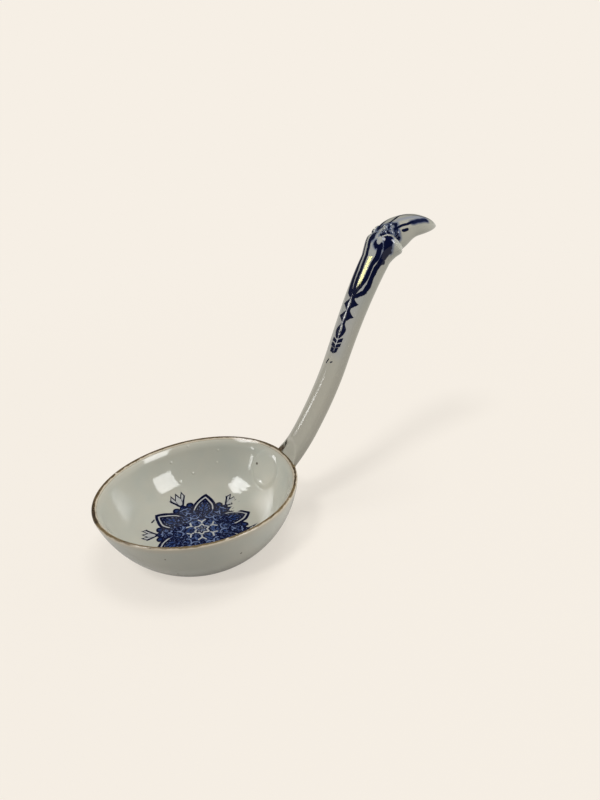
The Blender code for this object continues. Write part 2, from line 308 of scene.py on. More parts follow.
class Sheet:
    """Two readings in millimetres that say where a point of a surface lies on a flat sheet of print."""

    def __init__(self, along, across):
        tree = along.socket.id_data
        joined = tree.nodes.new("ShaderNodeCombineXYZ")
        tree.links.new(along.socket, joined.inputs["X"])
        tree.links.new(across.socket, joined.inputs["Y"])
        self.tree = tree
        self.along = along
        self.across = across
        self.point = joined.outputs["Vector"]

    def away(self, along, across):
        """How far each point is from one place on the sheet."""
        return distance_to(self.tree, self.point, (along, across, 0))

    def stroke(self, start, end):
        """How far each point is from a straight stroke between two places on the sheet."""
        run = Vector(end) - Vector(start)
        level = self.along - start[0]
        aside = self.across - start[1]
        ahead = level * (run.x / run.length) + aside * (run.y / run.length)
        beside = level * (-run.y / run.length) + aside * (run.x / run.length)
        past_end = (abs(ahead - run.length / 2) - run.length / 2) | 0.0
        return (past_end * past_end + beside * beside).worked("SQRT")

    def path(self, places):
        """How far each point is from a line drawn through several places on the sheet."""
        away = self.stroke(places[0], places[1])
        for start, end in zip(places[1:], places[2:]):
            away = away & self.stroke(start, end)
        return away

    def drawn(self, half_width, places, blur=PRINT_BLUR):
        """A line of print drawn through several places on the sheet."""
        return (self.path(places) - half_width).filled(blur)

    def dot(self, along, across, radius, blur=PRINT_BLUR):
        """A round dot of print at one place on the sheet."""
        return (self.away(along, across) - radius).filled(blur)


class Glaze:
    """A glossy grey-white glaze, cloudy and finely specked, that takes print and stains in layers."""

    def __init__(self, name):
        self.material = bpy.data.materials.new(name)
        self.material.use_nodes = True
        self.tree = self.material.node_tree
        self.shader = self.tree.nodes["Principled BSDF"]
        self.shader.inputs["IOR"].default_value = GLAZE_IOR
        place = self.tree.nodes.new("ShaderNodeTexCoord")
        self.place = place.outputs["Object"]
        parts = self.tree.nodes.new("ShaderNodeSeparateXYZ")
        self.tree.links.new(self.place, parts.inputs[0])
        self.x, self.y, self.z = (Reading(parts.outputs[axis]) / MM for axis in "XYZ")
        clouds = self.grain(CLOUD_GRAIN, detail=4)
        self.colour = GLAZE_GREY
        self.lay(GLAZE_WARM, (clouds - CLOUD_FROM).steep(CLOUD_STEEPNESS))
        flecks = self.tree.nodes.new("ShaderNodeTexVoronoi")
        flecks.inputs["Scale"].default_value = FLECK_GRAIN
        self.tree.links.new(self.place, flecks.inputs["Vector"])
        chance = self.tree.nodes.new("ShaderNodeSeparateColor")
        self.tree.links.new(flecks.outputs["Color"], chance.inputs[0])
        rare = (FLECK_CHANCE - Reading(chance.outputs["Red"])).steep(40)
        fleck = (Reading(flecks.outputs["Distance"]) - FLECK_RADIUS).filled(0.02)
        self.lay(IRON_SPECK, fleck * rare * FLECK_DEPTH)
        self.gloss = self.grain(GLOSS_GRAIN, detail=2) * GLOSS_SPAN + GLOSS_LEAST
        self.ripple = self.grain(RIPPLE_GRAIN, detail=3) * RIPPLE_HEIGHT

    def grain(self, scale, detail=2.0, vector=None):
        """Noise from 0 to 1, of so many bumps to the metre or to the unit of a vector."""
        node = self.tree.nodes.new("ShaderNodeTexNoise")
        node.inputs["Scale"].default_value = scale
        node.inputs["Detail"].default_value = detail
        self.tree.links.new(vector or self.place, node.inputs["Vector"])
        return Reading(node.outputs["Fac"])

    def shake(self, scale, detail):
        """A small wandering shift of the print, in millimetres."""
        return (self.grain(scale, detail) - 0.5) * PRINT_SHAKE

    def away(self, x, y, z):
        """How far each point is, in millimetres, from a place on the piece."""
        return distance_to(self.tree, self.place, (x * MM, y * MM, z * MM)) / MM

    def carried(self, attribute):
        """A number that the mesh carries at its corners."""
        node = self.tree.nodes.new("ShaderNodeAttribute")
        node.attribute_name = attribute
        return Reading(node.outputs["Fac"])

    def lay(self, colour, amount):
        """Lay an amount of a colour over what is there."""
        mixed = self.tree.nodes.new("ShaderNodeMix")
        mixed.data_type = "RGBA"
        # A Mix node's two colours come after the ports for its numbers and vectors
        under, over = mixed.inputs[6:8]
        if isinstance(self.colour, tuple):
            under.default_value = (*self.colour, 1)
        else:
            self.tree.links.new(self.colour, under)
        over.default_value = (*colour, 1)
        self.tree.links.new(amount.socket, mixed.inputs[0])
        self.colour = mixed.outputs[2]

    def fired(self):
        """Join the colour, the gloss and the ripple to the shader, and give the material."""
        bump = self.tree.nodes.new("ShaderNodeBump")
        bump.inputs["Strength"].default_value = 1.0
        bump.inputs["Distance"].default_value = RIPPLE_DEPTH
        self.tree.links.new(self.ripple.socket, bump.inputs["Height"])
        self.tree.links.new(bump.outputs["Normal"], self.shader.inputs["Normal"])
        self.tree.links.new(self.colour, self.shader.inputs["Base Color"])
        self.tree.links.new(self.gloss.socket, self.shader.inputs["Roughness"])
        return self.material


# Each side of the print's sheet: its shift, its shares of x and y, and of their squares and product
STRETCH_RIGHT = (0.96, 1.084, 0.070, 0.0004, -0.0032, -0.0046)
STRETCH_BACK = (-0.66, 0.010, 0.906, 0.0060, 0.0015, 0.0005)
MEDALLION_TURN = math.radians(10)
PETALS = 6
PETAL_ROUND = (13.3, -6.4)
PETAL_RADIUS = 11.3
PETAL_FOOT = 12.2
PETAL_LINE = 1.25
INNER_LINE = 1.0
INNER_LINE_IN = 1.7
LEAF_RADIUS = 8.7
LEAF_LINE = 0.75
VEIN_PITCH = 1.9
VEIN_SHARE = 0.36
MIDRIB_HALF = 0.3
CUP_FOOT = 19.2
CUP_FOOT_HALF = 0.7
CUP_FLARE = 0.6
CUP_TOP = 25.5
CUP_HALF_WIDTH = 3.3
CUP_SPIKES = 2.2
CUP_SPIKE_HEIGHT = 2.3
CUP_LINE = 0.95
FINGERS_TO = 22.6
BUD = (17.9, 3.0)
BUD_RADIUS = 1.2
BUD_LINE = 0.9
STEM_FOOT = 15.0
STEM_FOOT_RADIUS = 3.1
STEM_TOP = 17.8
STEM_TOP_RADIUS = 1.2
STEM_LINE = 0.7
STRAY_MARK = (0.3, ((-17.4, 14.6), (-16.1, 15.5)))
CORE_REACH = 14.2
# Each scroll and each worn place: where it is on its sheet, and its size
SCROLL_RINGS = ((9.6, 3.2, 2.0), (13.0, 5.6, 1.5), (16.2, 8.2, 1.4))
SCROLL_LINE = 0.45
SCROLL_EDGE = 0.6
SCROLL_EDGE_OFF = 0.7
BRANCH_STEM = ((4.3, 0), (5.3, 0))
BRANCH_ARM = ((5.2, 0), (6.5, 1.5))
BRANCH_HALF = 0.36
ROSETTE_REACH = 2.7
ROSETTE_WAVE = 0.5
WORN_PLACES = ((19.5, 13.3, 3.4), (17.6, 8.4, 3.6), (23.6, -7.6, 4.4))


def stretched(glaze, shares):
    """One side of the print's sheet, which slipped and stretched as it was pressed into the hollow."""
    shift, by_x, by_y, by_xx, by_yy, by_xy = shares
    level = glaze.x * by_x + glaze.y * by_y + shift
    bent = glaze.x * glaze.x * by_xx + glaze.x * glaze.y * by_xy + glaze.y * glaze.y * by_yy
    return level + bent


def print_medallion(glaze):
    """Six petals and six spiky sprays round a small flower, in dark ink over a mid-blue wash."""
    right = stretched(glaze, STRETCH_RIGHT) + glaze.shake(300, 1)
    back = stretched(glaze, STRETCH_BACK) + glaze.shake(260, 1)
    flat = Sheet(right, back)
    reach = flat.away(0, 0)
    turn = back.worked("ARCTAN2", right) - MEDALLION_TURN
    sector = math.tau / PETALS
    lean = abs(turn - (turn / sector).worked("ROUND") * sector)
    petal = Sheet(reach * lean.worked("COSINE"), reach * lean.worked("SINE"))
    aside = sector / 2 - lean
    spray = Sheet(reach * aside.worked("COSINE"), reach * aside.worked("SINE"))

    # Petals: a double outline round a veined leaf
    past_foot = (PETAL_FOOT - petal.along).filled(0.6)
    edge = petal.away(*PETAL_ROUND) - PETAL_RADIUS
    inner_edge = edge + INNER_LINE_IN
    notches = (petal.along.waves(VEIN_PITCH) - 0.5) * 0.5
    leaf = petal.away(*PETAL_ROUND) - LEAF_RADIUS + notches
    veins = (petal.along * 0.8 - petal.across * 1.2).waves(VEIN_PITCH) - VEIN_SHARE
    petal_ink = (edge.line(PETAL_LINE) | inner_edge.line(INNER_LINE)) * past_foot
    petal_ink = petal_ink | leaf.line(LEAF_LINE) | (veins.filled(0.5) * leaf.filled())
    petal_ink = petal_ink | ((petal.across - MIDRIB_HALF).filled() * (leaf + 0.5).filled())
    petal_pale = inner_edge.filled() * past_foot

    # Sprays: a pale cup with a spiky edge on a stem between two buds
    spikes = spray.across.waves(CUP_SPIKES)
    cup_top = spray.along - CUP_TOP + spikes * CUP_SPIKE_HEIGHT
    cup_side = spray.across - (spray.along - CUP_FOOT) * CUP_FLARE - CUP_FOOT_HALF
    cup_side = cup_side | (spray.across - CUP_HALF_WIDTH)
    cup = cup_side | cup_top | (CUP_FOOT - spray.along)
    bud = spray.away(*BUD) - BUD_RADIUS
    stem = spray.away(STEM_FOOT, 0) - STEM_FOOT_RADIUS
    stem = stem & (spray.away(STEM_TOP, 0) - STEM_TOP_RADIUS)
    finger = (abs(spikes - 1.0) - 0.1).filled(0.16) * cup.filled()
    spray_ink = (cup + 0.25).line(CUP_LINE) | stem.line(STEM_LINE)
    spray_ink = spray_ink | bud.line(BUD_LINE) | (bud + 0.75).line(0.25)
    spray_ink = spray_ink | (finger * (spray.along - FINGERS_TO).filled(0.5))
    spray_ink = spray_ink | flat.drawn(*STRAY_MARK)

    # Core: a mass of scrolled leaves in dark pools, with pale lines left in the wash
    core = (reach - CORE_REACH) & stem
    in_core = core.filled()
    scroll = glaze.grain(0.36, detail=1.5, vector=petal.point)
    scroll = scroll + glaze.grain(0.5, detail=1, vector=flat.point)
    pale_line = (scroll - 1.0).line(0.040, 0.05)
    dark_pool = (glaze.grain(0.62, detail=2, vector=flat.point) - 0.53).filled(0.1)
    dark_ring = (scroll - 1.1).line(0.05, 0.05)
    for along, across, radius in SCROLL_RINGS:
        ring = petal.away(along, across) - radius
        opened = petal.along - along + petal.across * 0.5 - across * 0.5 - radius * 0.2
        pale_line = pale_line | (ring.line(SCROLL_LINE) * opened.filled(0.4))
        dark_ring = dark_ring | (ring + SCROLL_EDGE_OFF).line(SCROLL_EDGE)
        dark_ring = dark_ring | (ring - SCROLL_EDGE_OFF).line(SCROLL_EDGE)
    branch = petal.stroke(*BRANCH_STEM) & petal.stroke(*BRANCH_ARM)
    flower = reach - ((turn * PETALS).worked("COSINE") * ROSETTE_WAVE + ROSETTE_REACH)
    white = (branch - BRANCH_HALF).filled() | flower.line(0.95) | (flower + 1.7).line(0.3)
    white = white * in_core * (glaze.grain(900, detail=1) - 0.28).steep(12)
    pale_line = pale_line * in_core
    body = in_core | leaf.filled() | bud.filled()
    core_ink = (dark_pool | dark_ring) * in_core
    core_ink = core_ink | (flower - 1.0).line(0.6) | (flower + 0.9).line(0.35)
    core_ink = core_ink.but_not(pale_line)

    # Wear: the print has flaked off in patches near one side
    worn = 0.0
    for worn_right, worn_back, size in WORN_PLACES:
        worn = (1.3 - flat.away(worn_right, worn_back) / size).steep(0.78) | worn
    kept = (glaze.grain(700, detail=2) - worn * 0.62 - 0.12).steep(9)

    halo = (edge.filled(2.0) * past_foot) | cup.filled(1.6) | core.filled(2.0) | bud.filled(1.6)
    ink = (petal_ink | spray_ink | core_ink).but_not(white) * kept
    tone = (glaze.grain(520, detail=2) * 0.9 + 0.42) & 1.0
    glaze.lay(COBALT_HALO, halo * kept * 0.28)
    glaze.lay(COBALT_PALE, (petal_pale * 0.75 | body).but_not(white) * kept * 0.9)
    glaze.lay(COBALT_WASH, body.but_not(white | pale_line) * kept * tone)
    glaze.lay(COBALT_INK, ink)


bowl_glaze = Glaze("bowl_glaze")
print_medallion(bowl_glaze)
for *speck_place, speck_radius in BOWL_SPECKS:
    speck = (bowl_glaze.away(*speck_place) - speck_radius).filled(0.3)
    bowl_glaze.lay(IRON_SPECK, speck * 0.9)
# Each pimple is a bump in the glaze, with a painted glint on its top: a small white dot in place of the
# highlight it catches
for pimple_place in BOWL_PIMPLES:
    from_pimple = bowl_glaze.away(*pimple_place)
    pimple_slope = (1 - from_pimple / PIMPLE_RADIUS) | 0.0
    bowl_glaze.ripple = bowl_glaze.ripple + pimple_slope * pimple_slope * PIMPLE_RISE
    bowl_glaze.lay(PIMPLE_GLINT_WHITE, (from_pimple - PIMPLE_GLINT_TOP).filled(0.4) * 0.9)
inside_wall = (bowl_glaze.away(*(SPHERE_MIDDLE / MM)) - (SPHERE_RADIUS - WALL / 2) / MM).filled()
press_ridge = abs(bowl_glaze.away(*(PRESS_PLACE / MM)) - PRESS_RIDGE) - PRESS_RIDGE_HALF
press_ridge = press_ridge.filled(0.9) * inside_wall * (PRESS_RIDGE_FROM - bowl_glaze.z).filled(5)
bowl_glaze.ripple = bowl_glaze.ripple + press_ridge * PRESS_RIDGE_RISE
lip_stain = bowl_glaze.grain(140, detail=3) * 2.4 - 1.2
lip_stained = (1 - inside_wall * 0.6) * 0.55
bowl_glaze.lay(LIP_BEIGE, (LIP_STAIN_FROM - bowl_glaze.z + lip_stain).filled(1.6) * lip_stained)
base_wiped = (bowl_glaze.z - WIPED_TO).filled(0.3)
bowl_glaze.lay(BARE_CLAY, base_wiped)
bowl_glaze.gloss = bowl_glaze.gloss | (base_wiped * BARE_ROUGHNESS)

bowl_body = turned_bowl()
rim_body = bowl_body.copy()
level_cut(bowl_body, BOWL_HEIGHT - RIM_EDGE_HEIGHT, keep_above=False)
for corner in bowl_body.verts:
    corner.co = warped(pressed(corner.co))
glazed_bowl = set_in_place("glazed_bowl", bowl_body, bowl_glaze.fired())
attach(glazed_bowl, "root")
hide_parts("bowl")


# Rim dressing: the crown of the lip, brushed with a line of brown iron colour before the glaze went on.
# Use has worn the line thin and broken in places, and the glaze beside it has turned beige.
RIM_GOLD = (0.145, 0.102, 0.047)
RIM_BROWN = (0.090, 0.060, 0.028)
RIM_DARK = (0.045, 0.028, 0.015)
RIM_BEIGE = (0.52, 0.45, 0.345)
RIM_LINE_HALF = 0.62
RIM_LINE_ROUGHER = 0.2
RIM_BEIGE_HALF = 1.5
# Each dark run of the line: its x and y, how far it goes, and how much wider the line is there
DARK_RUNS = ((-40.0, 1.5, 8.0, 0.1), (36.8, -13.5, 7.0, -0.28))
# Where the far side of the rim begins; on that side the line is painted darker, as shade
FAR_SIDE_FROM = 6

rim_glaze = Glaze("rim_glaze")
from_crown = rim_glaze.carried("from_crown")
brush = rim_glaze.grain(160, detail=3) - 0.5
rim_glaze.lay(RIM_BEIGE, (abs(from_crown) - RIM_BEIGE_HALF + brush * 1.2).filled(0.8) * 0.9)
worn_line = rim_glaze.grain(420, detail=3)
line_edge = abs(from_crown + brush * 0.5) - RIM_LINE_HALF + (worn_line - 0.5) * 0.9
dark_run = 0.0
for run_x, run_y, run_length, run_wider in DARK_RUNS:
    run = (rim_glaze.away(run_x, run_y, BOWL_HEIGHT / MM) - run_length).filled(5)
    line_edge = line_edge - run * run_wider
    dark_run = run | dark_run
# Painted shade: the line's brown pools are made heavier on the far side of the rim, on top of the pools
# in the line itself
far_side_shade = (FAR_SIDE_FROM - rim_glaze.y).filled(24)
rim_line = line_edge.filled(0.35) * (0.74 - worn_line + dark_run * 0.2).steep(9)
rim_glaze.lay(RIM_GOLD, rim_line)
rim_pools_and_shade = rim_glaze.grain(210, detail=4) - 0.56 + dark_run * 0.35 + far_side_shade * 0.3
rim_glaze.lay(RIM_BROWN, rim_line * rim_pools_and_shade.steep(6))
rim_specks = rim_glaze.grain(700, detail=3) - 0.62 + dark_run * 0.25
rim_glaze.lay(RIM_DARK, rim_line * rim_specks.steep(8))
rim_glaze.gloss = rim_glaze.gloss + rim_line * RIM_LINE_ROUGHER

level_cut(rim_body, BOWL_HEIGHT - RIM_EDGE_HEIGHT, keep_above=True)
crown_layer = rim_body.verts.layers.float.new("from_crown")
for corner in rim_body.verts:
    lip_turn = math.atan2(corner.co.z - LIP_Z, corner.co.xy.length - LIP_MIDDLE)
    corner[crown_layer] = LIP_ROUND * (math.pi / 2 - lip_turn) / MM
    corner.co = warped(corner.co)
dressed_rim = set_in_place("dressed_rim", rim_body, rim_glaze.fired())
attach(dressed_rim, "root")
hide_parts("rim_edge")


# Handle: one porcelain moulding, oval in section, that rises from the lip, swells at the neck and
# hooks over. It is stuck to the lip with slip, printed in cobalt on its front, and glazed with the
# bowl.
ROOT_INSET = 6.0 * MM
ROOT_DROP = 5.3 * MM
# Each run of the handle's line: its reach, its rise, and the slopes at its two ends
RUNS = (
    (29.4 * MM, 43.6 * MM, math.radians(50), math.radians(64.5)),
    (22.5 * MM, 39.9 * MM, math.radians(64.5), math.radians(53)),
    (12.0 * MM, 6.4 * MM, math.radians(53), math.radians(4)),
    (11.7 * MM, -2.4 * MM, math.radians(4), math.radians(-20)),
)
WIDTHS = (12.9 * MM, 14.3 * MM, 15.0 * MM, 13.6 * MM)
DEPTHS = (6.4 * MM, 6.0 * MM, 8.0 * MM, 7.8 * MM)
OVAL_POWER = 2.6
TIP_TAPER_POWER = 0.82
LINE_STEPS = 60
SHANK_ROWS = 150
TIP_ROWS = 40
ROUND_POINTS = 144
ROOT_BURIED = 1.0 * MM
ROOT_TOP = 25.7 * MM
ROOT_DRAW = 4.5 * MM
ROOT_ASIDE = 3.3 * MM
ROOT_ASIDE_RUN = 22.0 * MM
NECK_SWELL_AT = 105.5 * MM
NECK_SWELL_HALF = 9.5 * MM
NECK_SWELL_FRONT = 1.0 * MM
NECK_SWELL_BACK = 1.6 * MM
NECK_SWELL_SIDE = 0.5 * MM
SKIN_UNIT = 100 * MM
SKIN_STEP = 0.05 * MM
HANDLE_WARM = (0.455, 0.420, 0.345)
HANDLE_WARM_TO = 78
HANDLE_WARM_FADE = 40


def slope_vector(slope, length):
    """A step of that length up a slope of the handle's line."""
    return Vector((math.cos(slope) * length, 0, math.sin(slope) * length))


def handle_line():
    """Points along the handle's middle, how far along each one lies, and where each run ends."""
    corner = Vector((LIP_RADIUS - ROOT_INSET, 0, BOWL_HEIGHT - ROOT_DROP))
    points = [corner]
    distances = [0.0]
    ends = [0.0]
    for reach, rise, leave, arrive in RUNS:
        end = corner + Vector((reach, 0, rise))
        pull = (end - corner).length / 3
        leaving = corner + slope_vector(leave, pull)
        arriving = end - slope_vector(arrive, pull)
        for point in interpolate_bezier(corner, leaving, arriving, end, LINE_STEPS)[1:]:
            distances.append(distances[-1] + (point - points[-1]).length)
            points.append(point)
        ends.append(distances[-1])
        corner = end
    return points, distances, ends


LINE_POINTS, LINE_DISTANCES, RUN_ENDS = handle_line()
NECK_AT, CREST_AT, TIP_AT = RUN_ENDS[2:]


def eased(sizes, distance):
    """A section size that eases from each run's end to the next, and closes at the tip."""
    for run in range(len(sizes) - 1):
        if distance <= RUN_ENDS[run + 1]:
            share = max(0.0, (distance - RUN_ENDS[run]) / (RUN_ENDS[run + 1] - RUN_ENDS[run]))
            return sizes[run] + (sizes[run + 1] - sizes[run]) * share * share * (3 - 2 * share)
    past_crest = min(1.0, (distance - CREST_AT) / (TIP_AT - CREST_AT))
    return sizes[-1] * (1 - past_crest**2) ** TIP_TAPER_POWER


def station(distance):
    """The handle's middle, its front direction and its half width and half depth at a distance."""
    step = 0
    while step < len(LINE_DISTANCES) - 2 and LINE_DISTANCES[step + 1] < distance:
        step += 1
    share = (distance - LINE_DISTANCES[step]) / (LINE_DISTANCES[step + 1] - LINE_DISTANCES[step])
    before = LINE_POINTS[max(step - 1, 0)]
    after = LINE_POINTS[min(step + 2, len(LINE_POINTS) - 1)]
    turn_from = (LINE_POINTS[step + 1] - before).normalized()
    turn_to = (after - LINE_POINTS[step]).normalized()
    along = turn_from.lerp(turn_to, share).normalized()
    middle = LINE_POINTS[step].lerp(LINE_POINTS[step + 1], share)
    front = Vector((-along.z, 0, along.x))
    off_neck = min(1.0, abs(distance - NECK_SWELL_AT) / NECK_SWELL_HALF)
    swell = math.cos(off_neck * math.pi / 2) ** 2
    near_root = max(0.0, 1 - distance / ROOT_ASIDE_RUN)
    middle = middle + Vector((0, ROOT_ASIDE * near_root * near_root, 0))
    middle = middle - front * swell * (NECK_SWELL_BACK - NECK_SWELL_FRONT) / 2
    half_width = eased(WIDTHS, distance) / 2 + swell * NECK_SWELL_SIDE
    half_depth = eased(DEPTHS, distance) / 2 + swell * (NECK_SWELL_BACK + NECK_SWELL_FRONT) / 2
    return middle, front, half_width, half_depth


def oval_point(place_on_line, angle, raised):
    """A point of the oval section, raised off its skin; the front is at a quarter turn from +Y."""
    middle, front, half_width, half_depth = place_on_line
    across = math.copysign(abs(math.cos(angle)) ** (2 / OVAL_POWER), math.cos(angle))
    forward = math.copysign(abs(math.sin(angle)) ** (2 / OVAL_POWER), math.sin(angle))
    side = half_width * across
    ahead = half_depth * forward
    if raised and half_width and half_depth:
        lean_across = math.copysign(abs(across) ** (OVAL_POWER - 1), across) / half_width
        lean_forward = math.copysign(abs(forward) ** (OVAL_POWER - 1), forward) / half_depth
        lean = math.hypot(lean_across, lean_forward)
        side += raised * lean_across / lean
        ahead += raised * lean_forward / lean
    return middle + Vector((0, side, 0)) + front * ahead


def outside_bowl(point, buried):
    """Whether a point is outside the bowl's wall, buried that deep, or past the middle of the lip."""
    if point.z > LIP_Z:
        return point.xy.length > LIP_MIDDLE + LIP_ROUND - buried
    return (point - SPHERE_MIDDLE).length > SPHERE_RADIUS - buried


def root_start(angle, buried):
    """How far along the handle a line of its skin comes out of the bowl's wall or passes the lip."""
    low = 0.0
    high = NECK_AT / 4
    for _ in range(24):
        middle = (low + high) / 2
        if outside_bowl(oval_point(station(middle), angle, 0), buried):
            high = middle
        else:
            low = middle
    return high


def root_drawn_down(point, distance, start, start_point):
    """Draw the skin down to the lip over its first stretch, so that the front runs onto the rim."""
    drop = max(0.0, start_point.z - ROOT_TOP)
    left = max(0.0, 1 - (distance - start) / ROOT_DRAW)
    return point - Vector((0, 0, drop * left * left))


def skin_angle(share):
    """The section's angle at a share of the way round, from the middle of the back over the front."""
    return math.tau * share - math.pi / 2


def handle_distance(share, start):
    """Where along the handle a row of the skin lies: even rows, then finer ones round the tip."""
    shank_share = SHANK_ROWS / (SHANK_ROWS + TIP_ROWS)
    if share <= shank_share:
        return start + (CREST_AT - start) * share / shank_share
    past = (share - shank_share) / (1 - shank_share)
    return CREST_AT + (TIP_AT - CREST_AT) * math.sin(math.pi / 2 * past)


KNOWN_GIRTHS = {}


def skin_girths(distance):
    """How far each point of a section's ring lies from its front line, above zero on the +Y side."""
    known = round(distance / SKIN_STEP)
    if known not in KNOWN_GIRTHS:
        here = station(distance)
        angles = [skin_angle(step / ROUND_POINTS) for step in range(ROUND_POINTS + 1)]
        ring = [oval_point(here, angle, 0) for angle in angles]
        lengths = [0.0]
        for first, second in zip(ring, ring[1:]):
            lengths.append(lengths[-1] + (second - first).length)
        front = lengths[ROUND_POINTS // 2]
        KNOWN_GIRTHS[known] = [front - length for length in lengths]
    return KNOWN_GIRTHS[known]


def map_skin(body, skin_place):
    """Give a body the handle's map of the skin, from each corner's distance along it and girth."""
    skin_map = body.loops.layers.uv.new("skin")
    for face in body.faces:
        for loop in face.loops:
            distance, girth = skin_place(loop.vert)
            loop[skin_map].uv = (distance / SKIN_UNIT, girth / SKIN_UNIT)


def handle_skin():
    """A sheet rolled round the handle's line, welded along the back, with its own map of the skin."""
    body = bmesh.new()
    rows = SHANK_ROWS + TIP_ROWS
    bmesh.ops.create_grid(body, x_segments=rows, y_segments=ROUND_POINTS, size=1)
    starts = []
    for step in range(ROUND_POINTS + 1):
        angle = skin_angle(step / ROUND_POINTS)
        start = root_start(angle, ROOT_BURIED)
        starts.append((start, oval_point(station(start), angle, 0)))
    skin = {}
    for corner in body.verts:
        row = (corner.co.x + 1) / 2
        step = round((corner.co.y + 1) / 2 * ROUND_POINTS)
        start, start_point = starts[step]
        distance = handle_distance(row, start)
        point = oval_point(station(distance), skin_angle(step / ROUND_POINTS), 0)
        corner.co = root_drawn_down(point, distance, start, start_point)
        skin[corner.index] = (distance, skin_girths(distance)[step])
    map_skin(body, lambda corner: skin[corner.index])
    bmesh.ops.remove_doubles(body, verts=body.verts, dist=WELD)
    open_edges = [edge for edge in body.edges if edge.is_boundary]
    bmesh.ops.contextual_create(body, geom=open_edges)
    bmesh.ops.recalc_face_normals(body, faces=body.faces)
    return body


PRINT_LEAN = 0.046
PRINT_OFFSET = 1.1
PRINT_FROM = 58.0
CHAIN_SLANT = 0.23
# Each drawn line of the print: its half width, and the places along and across that it passes through
LOOSE_MARKS = (
    (0.42, ((50.4, 2.0), (51.8, 1.3))),
    (0.36, ((50.8, -0.9), (51.1, -1.9))),
)
# Each chevron: where it is along the chain, its half width and half its thickness
CHEVRONS = ((55.7, 2.7, 1.0), (57.6, 3.4, 0.80), (59.6, 3.6, 0.78))
CHEVRON_RISE = 0.28
DROP_AT = 64.4
DROP_ROUND = (12.2, 11.6, 3.2)
DROP_POINT = (4.1, 3.8, 2.6)
DROP_MIDDLE = (5.3, 0.5, 0.7)
DROP_DOT = (63.7, -0.1)
DIAMONDS = (70.2, 75.2)
DIAMOND = (3.2, 4.7, 2.5)
DIAMOND_MIDDLE = (1.7, 0.95, 0.8)
DIAMOND_MIDDLE_ASIDE = 0.4
CHAIN_DOT = 0.42
CHAIN_SPINE = (0.6, ((67.2, -1.0), (79.0, -1.3)))
PANEL_LINES = (
    (1.55, ((78.4, -1.9), (79.4, 1.6), (84.0, 2.9), (92.0, 4.2), (97.0, 4.7), (101.0, 5.6))),
    (1.15, ((80.8, -1.0), (84.5, -0.4), (89.0, -0.2), (93.0, 0.4), (99.4, 1.1))),
    (1.00, ((80.2, -2.4), (83.0, -4.3), (86.0, -5.2), (92.0, -5.3), (95.0, -5.9), (99.0, -5.5))),
    (0.95, (
        (78.4, -2.2), (79.4, -4.6), (81.0, -6.7), (84.2, -7.5),
        (88.0, -7.4), (91.0, -7.5), (94.0, -8.0),
    )),
    (1.10, ((93.4, -7.9), (96.0, -8.2), (98.8, -8.4))),
)
PANEL_LOBES = ((81.6, -7.3, 0.7), (86.0, -7.8, 0.7), (94.2, -8.7, 1.0), (97.0, -8.6, 0.9))
NECK_STROKES = (
    (0.45, ((102.7, 2.0), (104.2, 1.1), (105.9, -1.2), (106.9, -3.8), (106.4, -5.2))),
    (0.75, ((105.8, -5.8), (105.0, -7.8), (104.3, -9.6))),
    (0.95, ((102.2, -3.4), (102.0, -4.6))),
    (0.40, ((103.6, -3.8), (103.4, -6.7))),
    (0.42, ((105.2, -2.6), (104.2, -4.3))),
    (1.10, ((101.0, 0.9), (100.2, -0.1))),
    (1.40, ((102.2, -6.7), (100.5, -7.6), (98.9, -8.4))),
    (0.75, ((98.9, -2.9), (98.3, -3.9), (98.6, -5.8))),
)
NECK_RIDGE = ((101.4, -4.6), (102.8, -5.6), (103.5, -7.8), (103.3, -10.3))
NECK_RIDGE_HALF = 0.3
NECK_BOSS = (100.1, -4.3)
NECK_BOSS_RADIUS = 1.1
NECK_TRAIL = (1.2, ((98.6, -5.2), (95.0, -6.6)))
NECK_RAGGED = 1.2
TIP_STROKES = (
    (0.80, ((103.6, 2.6), (105.5, 3.4), (107.5, 4.1), (109.5, 4.5), (112.0, 4.6))),
    (0.55, ((105.9, -0.7), (107.3, -0.4), (108.6, 0.1), (110.0, 1.3), (111.5, 2.4), (113.5, 3.0))),
    (0.34, ((111.2, 2.2), (112.6, 1.2), (114.5, -1.2), (116.8, -3.0), (119.0, -3.0), (121.0, -2.2))),
    (0.52, ((106.4, -5.8), (108.1, -6.2), (109.9, -6.2), (111.8, -5.9))),
    (0.60, ((107.4, -8.1), (108.8, -8.3))),
)
TIP_GREY = (1.3, ((109.0, -2.4), (117.0, -4.0)))
TIP_WASH = ((111.8, -6.1), (113.8, -5.9), (115.6, -5.6), (117.2, -5.1))
TIP_WASH_HALF = 1.2
TIP_INK_HALF = 0.75
SHADOWED_MIDDLE = 78
SHADOWED_HALF_LENGTH = 24
SHADOWED_HALF_WIDTH = 5.6


def oval_edge(along, across, shape):
    """About how far each point is outside an oval, from its two half sizes squared and a scale."""
    length_squared, width_squared, scale = shape
    out = (along * along / length_squared + across * across / width_squared).worked("SQRT")
    return (out - 1) * scale


def diamond_edge(along, across, shape):
    """About how far each point is outside a diamond, from its two half sizes and a scale."""
    half_length, half_width, scale = shape
    return (along / half_length + across / half_width - 1) * scale


